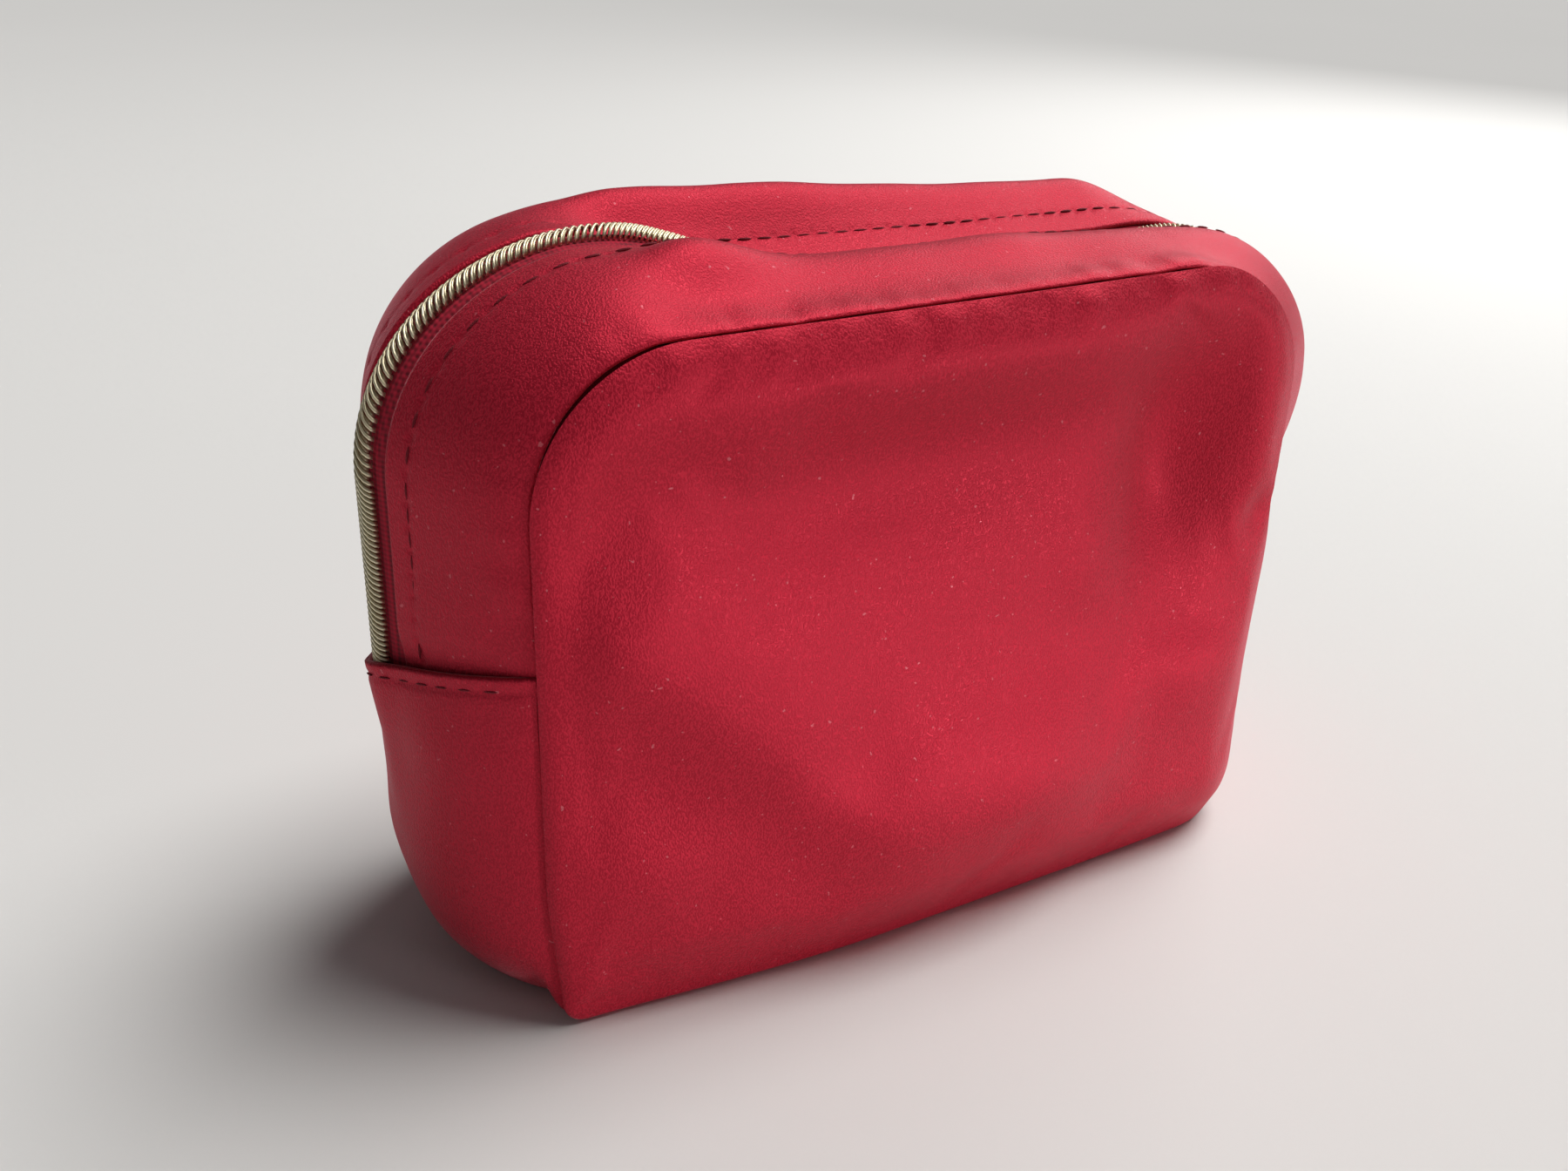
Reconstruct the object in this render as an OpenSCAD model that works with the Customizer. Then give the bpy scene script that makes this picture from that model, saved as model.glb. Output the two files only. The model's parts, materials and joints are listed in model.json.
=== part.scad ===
// Zipped cosmetic pouch in padded satin: two padded panels joined by a gusset,
// whose upper half is split by a coil zip and whose lower half is one folded strip.
// The origin is on the floor under the middle of the pouch, +X to the right seen
// from the front, +Y to the back and +Z up.

/* [Pouch] */
// Width of the front and back panels, seam to seam
panel_w = 170; // [135:1:210]
// Height of the front and back panels, seam to seam
panel_h = 131; // [108:1:165]
// Depth of the gusset, front seam to back seam
gusset_d = 62; // [50:1:80]
// Corner radius of the panels at the top
top_r = 28; // [20:1:34]
// Corner radius of the panels at the base
base_r = 14; // [8:1:26]
// How far each side of the gusset bulges past its seams
side_bulge = 15; // [6:0.5:20]
// How far the zip rises above the top seams
top_bulge = 10; // [4:0.5:14]
// Height over which the lower gusset swells from the flat base
bulge_rise = 45; // [30:1:60]
// How far each padded panel crowns out past its seams
crown = 7; // [0:0.5:10]

/* [Cloth] */
// Thickness of the satin
satin_t = 0.6; // [0.3:0.1:1]
// Thickness of the foam padding
padding_t = 2.4; // [1:0.1:4]
// Thickness of the lining
lining_t = 0.4; // [0.2:0.1:0.8]
// Width of the tape that binds the raw seams inside
binding_w = 5; // [3:0.5:8]
// Thickness of that tape, folded round the seam
binding_t = 1.2; // [0.6:0.1:2]

/* [Zip] */
// Straight run of the zip on each side, from the hem to the top corner
side_zip_run = 33; // [26:1:40]
// Width of the closed chain
chain_w = 5.8; // [4:0.1:8]
// Thickness of the coil
coil_t = 2.3; // [1.5:0.1:3]
// Gap between the two coils and between the two tapes
chain_gap = 1.4; // [1:0.1:2]
// Width of one zip tape
tape_w = 12.5; // [9:0.5:16]
// Thickness of a zip tape
tape_t = 0.5; // [0.3:0.1:0.8]
// Distance from the middle of the zip to the folded edge of a band
band_edge = 6.5; // [5.5:0.1:9]
// Distance from a band's folded edge to its row of topstitching
topstitch_inset = 4; // [2:0.5:6]
// Distance from the hem to its row of stitching
hem_stitch_inset = 2; // [1:0.5:4]
// Width of a row of stitching
thread_w = 0.4; // [0.2:0.1:0.8]

/* [Slider] */
// Length of the slider along the chain
slider_l = 12; // [9:0.5:14]
// Wall of the slider's plates and flanges
slider_wall = 1.1; // [0.8:0.1:1.5]
// Clearance between the slider and what runs through it
slider_clear = 0.3; // [0.2:0.05:0.5]
// Gap between the slider at rest and the hem
slider_rest_gap = 2; // [1:0.5:4]
// Width of the bridge on top of the slider
bridge_w = 2; // [1.5:0.1:3]
// Radius of the puller's crossbar
crossbar_r = 0.7; // [0.5:0.1:0.9]
// Length of the puller from its crossbar to its tip
puller_l = 26; // [15:1:35]
// Width of the puller
puller_w = 6; // [5:0.5:9]
// Thickness of the puller
puller_t = 1; // [0.8:0.1:1.4]

/* [Motion] */
// Gap between the panel halves at the fold, and between the hem and the bands
fold_gap = 0.3; // [0.2:0.05:1]

/* [Hidden] */
$fn = 48;

cloth_gap = 0.1;
thread_t = 0.25;
band_hem_w = 1.5;
bridge_wall = 0.8;
half_w = panel_w / 2;
half_d = gusset_d / 2;
corner_z = panel_h - top_r;
hem_z = corner_z - side_zip_run;

// Depths of the layers, measured inwards from the outer face
padding_in = satin_t + cloth_gap;
lining_in = padding_in + padding_t + cloth_gap;
stack_t = lining_in + lining_t;
tape_in = satin_t + cloth_gap;
band_lining_in = tape_in + tape_t + cloth_gap;
band_stack_t = band_lining_in + lining_t;

// The gusset ends against the inner face of the panels
gusset_half = half_d - stack_t - cloth_gap;

// Where the zip's parts lie across the gusset, from its middle
chain_inner = chain_gap / 2;
chain_outer = chain_w / 2;
tape_outer = chain_inner + tape_w;
band_lining_edge = band_edge + band_hem_w;
topstitch_y = band_edge + topstitch_inset;

// Steps of the meshes round the outline and across it
side_steps = 2;
corner_steps = 7;
straight_steps = 5;
base_corner_steps = 5;
panel_cols = 8;
gusset_cols = 8;
band_cols = 3;

// The bindings lie clear of the flats that the bulging gusset is made of
widest_flat = max(2 * gusset_half / gusset_cols, (gusset_half - band_edge) / band_cols);
flat_sag = side_bulge * pow(widest_flat / 2 / half_d, 2);
binding_gap = cloth_gap + flat_sag;

satin_red = [0.55, 0.05, 0.09];
foam_white = [0.85, 0.82, 0.78];
lining_red = [0.38, 0.04, 0.07];
tape_red = [0.45, 0.04, 0.08];
pale_gold = [0.80, 0.72, 0.52];

// ---- Shapes that the parts share ----

// A station is [x, z, nx, nz]: a point on the seam line and the way out from it
function line_stations(a, b, out, steps, first) =
    [for (i = [first : steps]) [each (a + (b - a) * i / steps), each out]];
function arc_stations(centre, r, a0, a1, steps) =
    [for (i = [1 : steps]) let (a = a0 + (a1 - a0) * i / steps, out = [cos(a), sin(a)])
        [each (centre + r * out), each out]];

// The outline above the hem, from its right end over the top to its left end
function upper_stations() = concat(
    line_stations([half_w, hem_z + fold_gap / 2], [half_w, corner_z], [1, 0], side_steps, 0),
    over_the_top());
function over_the_top() = concat(
    arc_stations([half_w - top_r, corner_z], top_r, 0, 90, corner_steps),
    line_stations([half_w - top_r, panel_h], [top_r - half_w, panel_h], [0, 1], straight_steps, 1),
    arc_stations([top_r - half_w, corner_z], top_r, 90, 180, corner_steps),
    line_stations([-half_w, corner_z], [-half_w, hem_z + fold_gap / 2], [-1, 0], side_steps, 1));

// The outline below the hem, from its left end under the base to its right end
function lower_stations() = concat(
    line_stations([-half_w, hem_z - fold_gap / 2], [-half_w, base_r], [-1, 0], side_steps + 1, 0),
    arc_stations([base_r - half_w, base_r], base_r, 180, 270, base_corner_steps),
    line_stations([base_r - half_w, 0], [half_w - base_r, 0], [0, -1], straight_steps, 1),
    arc_stations([half_w - base_r, base_r], base_r, 270, 360, base_corner_steps),
    line_stations([half_w, base_r], [half_w, hem_z - fold_gap / 2], [1, 0], side_steps + 1, 1));

// How far the middle of the gusset stands out from the seam line at a station
function bulge_at(s) =
    side_bulge * s[2] * s[2] * sin(90 * min(1, s[1] / bulge_rise))
    + top_bulge * pow(max(0, s[3]), 2);
function gusset_point(s, y, depth) =
    let (out = bulge_at(s) * (1 - pow(y / half_d, 2)) - depth)
    [s[0] + s[2] * out, y, s[1] + s[3] * out];
function gusset_grid(stations, y0, y1, cols, depth) =
    [for (s = stations) [for (j = [0 : cols]) gusset_point(s, y0 + (y1 - y0) * j / cols, depth)]];

// Half the panel's width at a height, and how far its face stands out there
function half_width_at(z) =
    z < base_r ? half_w - base_r + sqrt(max(0, pow(base_r, 2) - pow(base_r - z, 2))) :
    z > corner_z ? half_w - top_r + sqrt(max(0, pow(top_r, 2) - pow(z - corner_z, 2))) :
    half_w;
function crown_at(u, z) = crown * (1 - u * u) * sin(180 * z / panel_h);
function panel_grid(heights, side, depth) =
    [for (z = heights) [for (j = [0 : panel_cols]) let (u = -1 + 2 * j / panel_cols)
        [u * half_width_at(z), side * (half_d + crown_at(u, z) - depth), z]]];

function lower_heights(top) = concat(
    [for (i = [0 : base_corner_steps]) base_r * (1 - cos(90 * i / base_corner_steps))],
    [for (i = [1 : side_steps + 1]) base_r + (top - base_r) * i / (side_steps + 1)]);
function upper_heights(bottom) = concat(
    [for (i = [0 : side_steps]) bottom + (corner_z - bottom) * i / side_steps],
    [for (i = [1 : corner_steps]) corner_z + top_r * sin(90 * i / corner_steps)]);
below_fold = lower_heights(hem_z - fold_gap / 2);
above_fold = upper_heights(hem_z + fold_gap / 2);
whole_height = concat(lower_heights(hem_z), [for (i = [1 : len(above_fold) - 1]) above_fold[i]]);

// A closed sheet between an outer and an inner grid of points
module sheet(outer, inner) {
    rows = len(outer);
    cols = len(outer[0]);
    function at(layer, i, j) = (layer * rows + i) * cols + j;
    function quad(a, b, c, d) = [[a, b, c], [a, c, d]];
    faces = concat(
        [for (i = [0 : rows - 2], j = [0 : cols - 2])
            each quad(at(0, i, j), at(0, i, j + 1), at(0, i + 1, j + 1), at(0, i + 1, j))],
        [for (i = [0 : rows - 2], j = [0 : cols - 2])
            each quad(at(1, i, j), at(1, i + 1, j), at(1, i + 1, j + 1), at(1, i, j + 1))],
        [for (i = [0 : rows - 2])
            each quad(at(0, i, 0), at(0, i + 1, 0), at(1, i + 1, 0), at(1, i, 0))],
        [for (i = [0 : rows - 2])
            each quad(at(0, i, cols - 1), at(1, i, cols - 1), at(1, i + 1, cols - 1), at(0, i + 1, cols - 1))],
        [for (j = [0 : cols - 2])
            each quad(at(0, 0, j), at(1, 0, j), at(1, 0, j + 1), at(0, 0, j + 1))],
        [for (j = [0 : cols - 2])
            each quad(at(0, rows - 1, j), at(0, rows - 1, j + 1), at(1, rows - 1, j + 1), at(1, rows - 1, j))]);
    polyhedron([for (grid = [outer, inner], row = grid) each row], faces, convexity = 10);
}

// A strip of the gusset between two distances from the zip's middle line
module strip(stations, y0, y1, depth, thickness, cols) {
    sheet(gusset_grid(stations, y0, y1, cols, depth),
        gusset_grid(stations, y0, y1, cols, depth + thickness));
}

// A layer of a panel; side is -1 at the front and 1 at the back
module panel_layer(heights, side, depth, thickness) {
    outer = panel_grid(heights, side, depth);
    inner = panel_grid(heights, side, depth + thickness);
    if (side < 0) sheet(inner, outer);
    else sheet(outer, inner);
}

// ---- Panels ----

module back_panel() {
    color(satin_red) panel_layer(whole_height, 1, 0, satin_t);
}
module back_padding() {
    color(foam_white) panel_layer(whole_height, 1, padding_in, padding_t);
}
module back_lining() {
    color(lining_red) panel_layer(whole_height, 1, lining_in, lining_t);
}
module front_panel_lower() {
    color(satin_red) panel_layer(below_fold, -1, 0, satin_t);
}
module front_padding_lower() {
    color(foam_white) panel_layer(below_fold, -1, padding_in, padding_t);
}
module front_lining_lower() {
    color(lining_red) panel_layer(below_fold, -1, lining_in, lining_t);
}
module front_panel_upper() {
    color(satin_red) panel_layer(above_fold, -1, 0, satin_t);
}
module front_padding_upper() {
    color(foam_white) panel_layer(above_fold, -1, padding_in, padding_t);
}
module front_lining_upper() {
    color(lining_red) panel_layer(above_fold, -1, lining_in, lining_t);
}

// ---- Lower gusset ----

module gusset_layer(depth, thickness) {
    strip(lower_stations(), -gusset_half, gusset_half, depth, thickness, gusset_cols);
}
module lower_gusset() {
    color(satin_red) gusset_layer(0, satin_t);
}
module gusset_padding() {
    color(foam_white) gusset_layer(padding_in, padding_t);
}
module gusset_lining() {
    color(lining_red) gusset_layer(lining_in, lining_t);
}
// The row of stitching just below the hem; side is -1 on the left and 1 on the right
module hem_stitch(side) {
    middle = hem_z - hem_stitch_inset - thread_w / 2;
    first = [side * half_w, middle - side * thread_w / 2];
    last = [side * half_w, middle + side * thread_w / 2];
    strip(line_stations(first, last, [side, 0], 1, 0),
        -gusset_half, gusset_half, -thread_t, thread_t, gusset_cols);
}
module left_hem_stitch() {
    color(tape_red) hem_stitch(-1);
}
module right_hem_stitch() {
    color(tape_red) hem_stitch(1);
}

// ---- Zip bands, tapes and coils; side is -1 at the front and 1 at the back ----

module band_strip(side, near, far, depth, thickness, cols, stations = upper_stations()) {
    strip(stations, min(side * near, side * far), max(side * near, side * far), depth, thickness, cols);
}
module zip_band(side) {
    color(satin_red) band_strip(side, band_edge, gusset_half, 0, satin_t, band_cols);
}
module band_lining(side) {
    color(lining_red) band_strip(side, band_lining_edge, gusset_half, band_lining_in, lining_t, band_cols);
}
module zip_tape(side) {
    color(tape_red) band_strip(side, chain_inner, tape_outer, tape_in, tape_t, 2);
}
// The coil lies on the outer face of its tape
module zip_coil(side, stations) {
    depth = tape_in - coil_t;
    color(pale_gold) band_strip(side, chain_inner, chain_outer, depth, coil_t, 1, stations);
}
module topstitch(side) {
    color(tape_red)
        band_strip(side, topstitch_y, topstitch_y + thread_w, -thread_t, thread_t, 1);
}
module back_zip_band() {
    zip_band(1);
}
module back_band_lining() {
    band_lining(1);
}
module back_zip_tape() {
    zip_tape(1);
}
module back_zip_coil() {
    zip_coil(1, upper_stations());
}
module back_topstitch() {
    topstitch(1);
}
module front_zip_band() {
    zip_band(-1);
}
module front_band_lining() {
    band_lining(-1);
}
module front_zip_tape() {
    zip_tape(-1);
}
// The front coil stops short of the slider's run, so that the mouth can open past it
module front_zip_coil() {
    zip_coil(-1, over_the_top());
}
module front_topstitch() {
    topstitch(-1);
}

// ---- Bindings of the seams, inside ----

module binding_strip(side, stations, depth) {
    color(tape_red) band_strip(side, gusset_half - binding_w, gusset_half, depth, binding_t, 1, stations);
}
module back_binding() {
    binding_strip(1, upper_stations(), band_stack_t + binding_gap);
    binding_strip(1, lower_stations(), stack_t + binding_gap);
}
module front_binding_upper() {
    binding_strip(-1, upper_stations(), band_stack_t + binding_gap);
}
module front_binding_lower() {
    binding_strip(-1, lower_stations(), stack_t + binding_gap);
}

// ---- Slider and puller, on the right side's straight run ----

zip_x = half_w + side_bulge;
coil_out_x = zip_x - tape_in + coil_t;
slider_z = hem_z + slider_rest_gap;
flange_y = chain_outer + slider_clear;
slider_half_w = flange_y + slider_wall;

// The tapes fall away from the zip's middle line as the gusset curves
tape_drop = side_bulge * pow(slider_half_w / half_d, 2);
outer_plate_x = coil_out_x + slider_clear;
flange_x = zip_x - tape_in + slider_clear;
inner_plate_x = zip_x - tape_in - tape_t - tape_drop - slider_clear - slider_wall;
post_half = chain_inner - slider_clear;

bridge_x = outer_plate_x + slider_wall;
bridge_bore = crossbar_r + slider_clear;
bridge_half_l = bridge_bore + bridge_wall;
crossbar_x = bridge_x + bridge_bore;
crossbar_z = slider_z + slider_l / 2;

module slider_plate(x) {
    translate([x, -slider_half_w, slider_z]) cube([slider_wall, 2 * slider_half_w, slider_l]);
}
module slider_body() {
    color(pale_gold) {
        slider_plate(outer_plate_x);
        slider_plate(inner_plate_x);
        for (side = [-1, 1])
            translate([flange_x, side > 0 ? flange_y : -slider_half_w, slider_z])
                cube([outer_plate_x - flange_x + slider_wall / 2, slider_wall, slider_l]);
        translate([inner_plate_x + slider_wall / 2, -post_half, slider_z + slider_l - 2 * slider_wall])
            cube([outer_plate_x - inner_plate_x, 2 * post_half, 2 * slider_wall]);
    }
}
module slider_bridge() {
    color(pale_gold) difference() {
        union() {
            translate([crossbar_x, bridge_w / 2, crossbar_z]) rotate([90, 0, 0])
                cylinder(r = bridge_half_l, h = bridge_w);
            translate([bridge_x, -bridge_w / 2, crossbar_z - bridge_half_l])
                cube([bridge_bore, bridge_w, 2 * bridge_half_l]);
        }
        translate([crossbar_x, bridge_w, crossbar_z]) rotate([90, 0, 0])
            cylinder(r = bridge_bore, h = 2 * bridge_w);
        translate([bridge_x - bridge_half_l, -bridge_w, crossbar_z - bridge_bore])
            cube([bridge_half_l + bridge_bore, 2 * bridge_w, 2 * bridge_bore]);
        translate([bridge_x - bridge_half_l, -bridge_w, crossbar_z - bridge_half_l])
            cube([bridge_half_l, 2 * bridge_w, 2 * bridge_half_l]);
    }
}
module puller_tab() {
    window_half = bridge_w / 2 + slider_clear;
    window_l = bridge_half_l + 2 * slider_clear;
    color(pale_gold) {
        translate([crossbar_x, puller_w / 2, crossbar_z]) rotate([90, 0, 0])
            cylinder(r = crossbar_r, h = puller_w);
        difference() {
            translate([crossbar_x - puller_t / 2, -puller_w / 2, crossbar_z - puller_l + puller_w / 2])
                cube([puller_t, puller_w, puller_l - puller_w / 2]);
            translate([crossbar_x - puller_t, -window_half, crossbar_z - window_l])
                cube([2 * puller_t, 2 * window_half, window_l + puller_t]);
        }
        translate([crossbar_x - puller_t / 2, 0, crossbar_z - puller_l + puller_w / 2])
            rotate([0, 90, 0]) cylinder(r = puller_w / 2, h = puller_t);
    }
}

back_panel();
back_padding();
back_lining();
lower_gusset();
gusset_padding();
gusset_lining();
back_zip_band();
back_band_lining();
back_zip_tape();
back_zip_coil();
back_topstitch();
left_hem_stitch();
right_hem_stitch();
back_binding();
front_panel_lower();
front_padding_lower();
front_lining_lower();
front_binding_lower();
front_panel_upper();
front_padding_upper();
front_lining_upper();
front_binding_upper();
front_zip_band();
front_band_lining();
front_zip_tape();
front_zip_coil();
front_topstitch();
slider_body();
slider_bridge();
puller_tab();
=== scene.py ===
"""A zipped cosmetic pouch in padded red satin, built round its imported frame.

Lengths in the shape functions are in millimetres and become metres where a mesh is made.
"""

import json
import math

import bmesh
import bpy
from mathutils import Matrix, Vector, noise


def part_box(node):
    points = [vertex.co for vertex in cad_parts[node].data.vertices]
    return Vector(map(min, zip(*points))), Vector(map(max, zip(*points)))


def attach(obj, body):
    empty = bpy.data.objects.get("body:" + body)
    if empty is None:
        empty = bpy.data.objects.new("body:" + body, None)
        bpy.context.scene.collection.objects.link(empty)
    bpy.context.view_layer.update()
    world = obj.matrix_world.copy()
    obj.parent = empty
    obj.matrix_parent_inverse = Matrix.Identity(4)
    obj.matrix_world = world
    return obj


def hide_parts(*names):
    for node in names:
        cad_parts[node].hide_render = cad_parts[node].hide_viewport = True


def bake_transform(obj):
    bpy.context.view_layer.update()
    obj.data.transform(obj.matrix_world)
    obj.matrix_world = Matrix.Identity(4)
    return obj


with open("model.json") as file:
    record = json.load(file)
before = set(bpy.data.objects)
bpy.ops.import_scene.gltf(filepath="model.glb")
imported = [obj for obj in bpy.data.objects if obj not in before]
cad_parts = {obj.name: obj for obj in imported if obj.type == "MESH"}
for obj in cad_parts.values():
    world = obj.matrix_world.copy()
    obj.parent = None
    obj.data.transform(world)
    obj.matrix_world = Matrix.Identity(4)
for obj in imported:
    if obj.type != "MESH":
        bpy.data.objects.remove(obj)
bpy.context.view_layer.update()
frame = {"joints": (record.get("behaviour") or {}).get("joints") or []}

MM = 0.001

# ---- Sizes, from the frame ----


def box_mm(node):
    low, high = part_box(node)
    return low / MM, high / MM


panel_low, panel_high = box_mm("back_panel")
_, gusset_high = box_mm("lower_gusset")
coil_low, coil_high = box_mm("back_zip_coil")
band_low, band_high = box_mm("back_zip_band")
_, tape_high = box_mm("back_zip_tape")
slider_low, slider_high = box_mm("slider_body")
bridge_low, bridge_high = box_mm("slider_bridge")
puller_low, puller_high = box_mm("puller_tab")
stitch_low, stitch_high = box_mm("back_topstitch")

# The back panel's box starts one thickness of satin in front of the seam
SATIN = 0.6
HALF_W = panel_high.x
PANEL_H = panel_high.z
HALF_D = panel_low.y + SATIN
HEM_Z = gusset_high.z
SIDE_BULGE = gusset_high.x - HALF_W
TOP_BULGE = band_high.z - PANEL_H
BAND_EDGE = band_low.y
CHAIN_INNER = coil_low.y
CHAIN_OUTER = coil_high.y
TAPE_OUTER = tape_high.y
TOPSTITCH_Y = (stitch_low.y + stitch_high.y) / 2

# Radii of the panels' corners; the left one at the base is the sharpest
TOP_R = 28
BASE_R_RIGHT = 14
BASE_R_LEFT = 5
CORNER_Z = PANEL_H - TOP_R

# ---- The outline of the seams ----


def line(start, end, out):
    """A straight stretch: its length, and the point and way out at a distance along it."""
    start, end, out = Vector(start), Vector(end), Vector(out)
    length = (end - start).length
    return length, lambda d: (start.lerp(end, d / length), out)


def arc(centre, radius, start, turn):
    """A round stretch from an angle in degrees, turning by an angle."""
    centre = Vector(centre)

    def at(d):
        a = math.radians(start) + d / radius * math.copysign(1, turn)
        out = Vector((math.cos(a), math.sin(a)))
        return centre + out * radius, out

    return radius * math.radians(abs(turn)), at


def walker(stretches):
    """The point and way out at a distance along several stretches, and their whole length."""
    total = sum(length for length, _ in stretches)

    def at(d):
        for length, place in stretches:
            if d <= length:
                return place(d)
            d -= length
        return place(length + d)

    return at, total


# How far the top strip goes on under the hem
TUCK = 6
upper_at, UPPER_L = walker([
    line((HALF_W, HEM_Z - TUCK), (HALF_W, CORNER_Z), (1, 0)),
    arc((HALF_W - TOP_R, CORNER_Z), TOP_R, 0, 90),
    line((HALF_W - TOP_R, PANEL_H), (TOP_R - HALF_W, PANEL_H), (0, 1)),
    arc((TOP_R - HALF_W, CORNER_Z), TOP_R, 90, 90),
    line((-HALF_W, CORNER_Z), (-HALF_W, HEM_Z - TUCK), (-1, 0)),
])


def lower_outline(left_r, right_r):
    """The seam line below the hem, from its left end under the base to its right end."""
    return walker([
        line((-HALF_W, HEM_Z), (-HALF_W, left_r), (-1, 0)),
        arc((left_r - HALF_W, left_r), left_r, 180, 90),
        line((left_r - HALF_W, 0), (HALF_W - right_r, 0), (0, -1)),
        arc((HALF_W - right_r, right_r), right_r, 270, 90),
        line((HALF_W, right_r), (HALF_W, HEM_Z), (1, 0)),
    ])


# The gusset is rounder at the base than the panels are
GUSSET_R = 18
lower_at, LOWER_L = lower_outline(BASE_R_LEFT, BASE_R_RIGHT)
round_at, ROUND_L = lower_outline(GUSSET_R, GUSSET_R)


def corner_radius(x, z):
    if z > PANEL_H / 2:
        return TOP_R
    return BASE_R_RIGHT if x > 0 else BASE_R_LEFT


def inset(x, z):
    """How far a point of a panel lies inside the seam line."""
    r = corner_radius(x, z)
    across = abs(x) - (HALF_W - r)
    up = abs(z - PANEL_H / 2) - (PANEL_H / 2 - r)
    outside = math.hypot(max(across, 0), max(up, 0))
    return r - outside - min(max(across, up), 0)


def half_width(z, side):
    """Half the panel's width at a height, on the left (-1) or the right (1)."""
    r = corner_radius(side, z)
    up = abs(z - PANEL_H / 2) - (PANEL_H / 2 - r)
    return HALF_W - r + math.sqrt(max(r * r - max(up, 0) ** 2, 0))


# ---- The soft surfaces ----


def smooth(low, high, value):
    """0 below low, 1 above high and a smooth step between."""
    t = min(1, max(0, (value - low) / (high - low)))
    return t * t * (3 - 2 * t)


def mix(a, b, t):
    return a + (b - a) * t


def hump(value, middle, width):
    return math.exp(-(((value - middle) / width) ** 2))


def wrinkle(x, y, z, scale, seed):
    """Smooth noise from -1 to 1 with features of about that scale."""
    return noise.noise(Vector((x / scale + seed, y / scale, z / scale)))


BOW = 4.0
BACK_BOW = 0.5


def bow(x, z):
    """How far the front seam bows forward along the base."""
    return BOW * smooth(-86, -15, x) * (1 - 0.6 * smooth(66, 86, x)) * smooth(70, 0, z)


def seam_y(x, z, side):
    """The depth of a seam; side is -1 at the front and 1 at the back."""
    return side * (HALF_D + bow(x, z) * (1 if side < 0 else BACK_BOW))


def dome(t, power):
    """1 in the middle and 0 at the seams, flatter on top for a higher power."""
    return 1 - abs(t) ** power


def left_profile(t, z):
    """How far the left side stands out at t across it, from -1 at the front seam to 1 at the back."""
    above = smooth(52, 72, z)
    power = mix(2.5, 1.7, above) if t < 0 else mix(2.5, mix(1.9, 4.5, smooth(100, 130, z)), above)
    return SIDE_BULGE * dome(t, power) + 1.6 * hump(t * HALF_D, 0, 8) * above


def right_profile(t, z):
    """The right side is fuller towards the front above the hem, and pulled in at it."""
    full = SIDE_BULGE * dome(t, 2.4)
    full += 6.0 * hump(t * HALF_D, -19, 10) * hump(z, 98, 16)
    return full * (1 - 0.22 * hump(z, 68, 14))


BASE_FULLNESS = 32
FULL_FROM = 30


def side_profile(t, z, side):
    """How far a side stands out; it is drawn in towards the base, and full from a height upwards."""
    full = left_profile(t, z) if side < 0 else right_profile(t, z)
    return full * math.sin(math.pi / 2 * min(1, (z + BASE_FULLNESS) / (FULL_FROM + BASE_FULLNESS)))


def top_profile(t, x):
    """How far the top stands out.

    It has a crown on the left, and a valley in front of a ridge on the right."""
    y = t * HALF_D
    crown = TOP_BULGE * dome(t, 2.3) if t < 0 else mix(9, 11, smooth(0, 0.7, t)) * dome(t, 5)
    front = mix(4.6, 1.8, smooth(15, 65, x)) + 5.8 * hump(x, -50, 17)
    ridge = mix(12.6, 5.8, smooth(-50, 60, x)) * smooth(88, 60, x)
    zip_line = mix(8.5, -4.0, smooth(-58, -12, x))
    valley = front * hump(y, -14, 8.5) + ridge * hump(y, 20.5, 8) + zip_line * hump(y, 1, 7)
    return mix(crown, valley * dome(t, 6), smooth(-66, -46, x))


def gusset_out(at, out, t):
    """How far the gusset stands out from the seam line, from a seam point and its way out."""
    side = side_profile(t, at.y, at.x)
    side *= abs(out.x) if out.y < 0 else out.x ** 2
    return side + top_profile(t, at.x) * max(out.y, 0) ** 2


SEAM_IN = 1.1
SEAM_SPREAD = 1.2
GATHER = 3.4


def seam_dip(t, distance):
    """How far the cloth sinks into a seam, a little unevenly along it."""
    gathered = 1 + 0.5 * noise.noise(Vector((distance / GATHER, 8.5 * math.copysign(1, t), 0)))
    return SEAM_IN * math.exp(-(1 - abs(t)) * HALF_D / (SEAM_SPREAD * gathered))


PULL = 4.2
PULL_FROM, PULL_FULL = 48, 78
PANEL_PULL = 0.86
TUCKED_UNDER = 0.35


def seam_pull(x, z):
    """How far the front seam is drawn in, on the right above the hem."""
    return PULL * smooth(PULL_FROM, PULL_FULL, x) * smooth(PULL_FROM, PULL_FULL, z)


BASE_IN_RIGHT = 2.2
BASE_IN_LEFT = 2.4


def drawn_in(p):
    """The base is a little narrower than the top: a point with its place along x corrected."""
    p.x -= BASE_IN_RIGHT * smooth(72, 30, p.z) * smooth(40, 84, p.x)
    p.x += BASE_IN_LEFT * smooth(34, 0, p.z) * smooth(-50, -84, p.x)
    return p


def gusset_point(place, t, depth=0.0):
    """A point of the gusset: place is a seam point and its way out, t runs across and depth inwards.

    Where the front seam is drawn in, the gusset's edge reaches further under the panel."""
    at, out = place
    y = abs(t) * seam_y(at.x, at.y, -1 if t < 0 else 1)
    pull = seam_pull(at.x, at.y) * smooth(-0.45, -1, t)
    y -= TUCKED_UNDER * pull
    stand = gusset_out(at, out, t) - depth - pull
    return drawn_in(Vector((at.x + out.x * stand, y, max(at.y + out.y * stand, 0.0))))


HEM_MIDDLE = -2.0
FRONT_RISE = 7.0
BACK_FALL = 9.0


def hem_drop(t):
    """The hem is higher at the front than at the back."""
    return HEM_MIDDLE - (FRONT_RISE if t < 0 else BACK_FALL) * t


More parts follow.
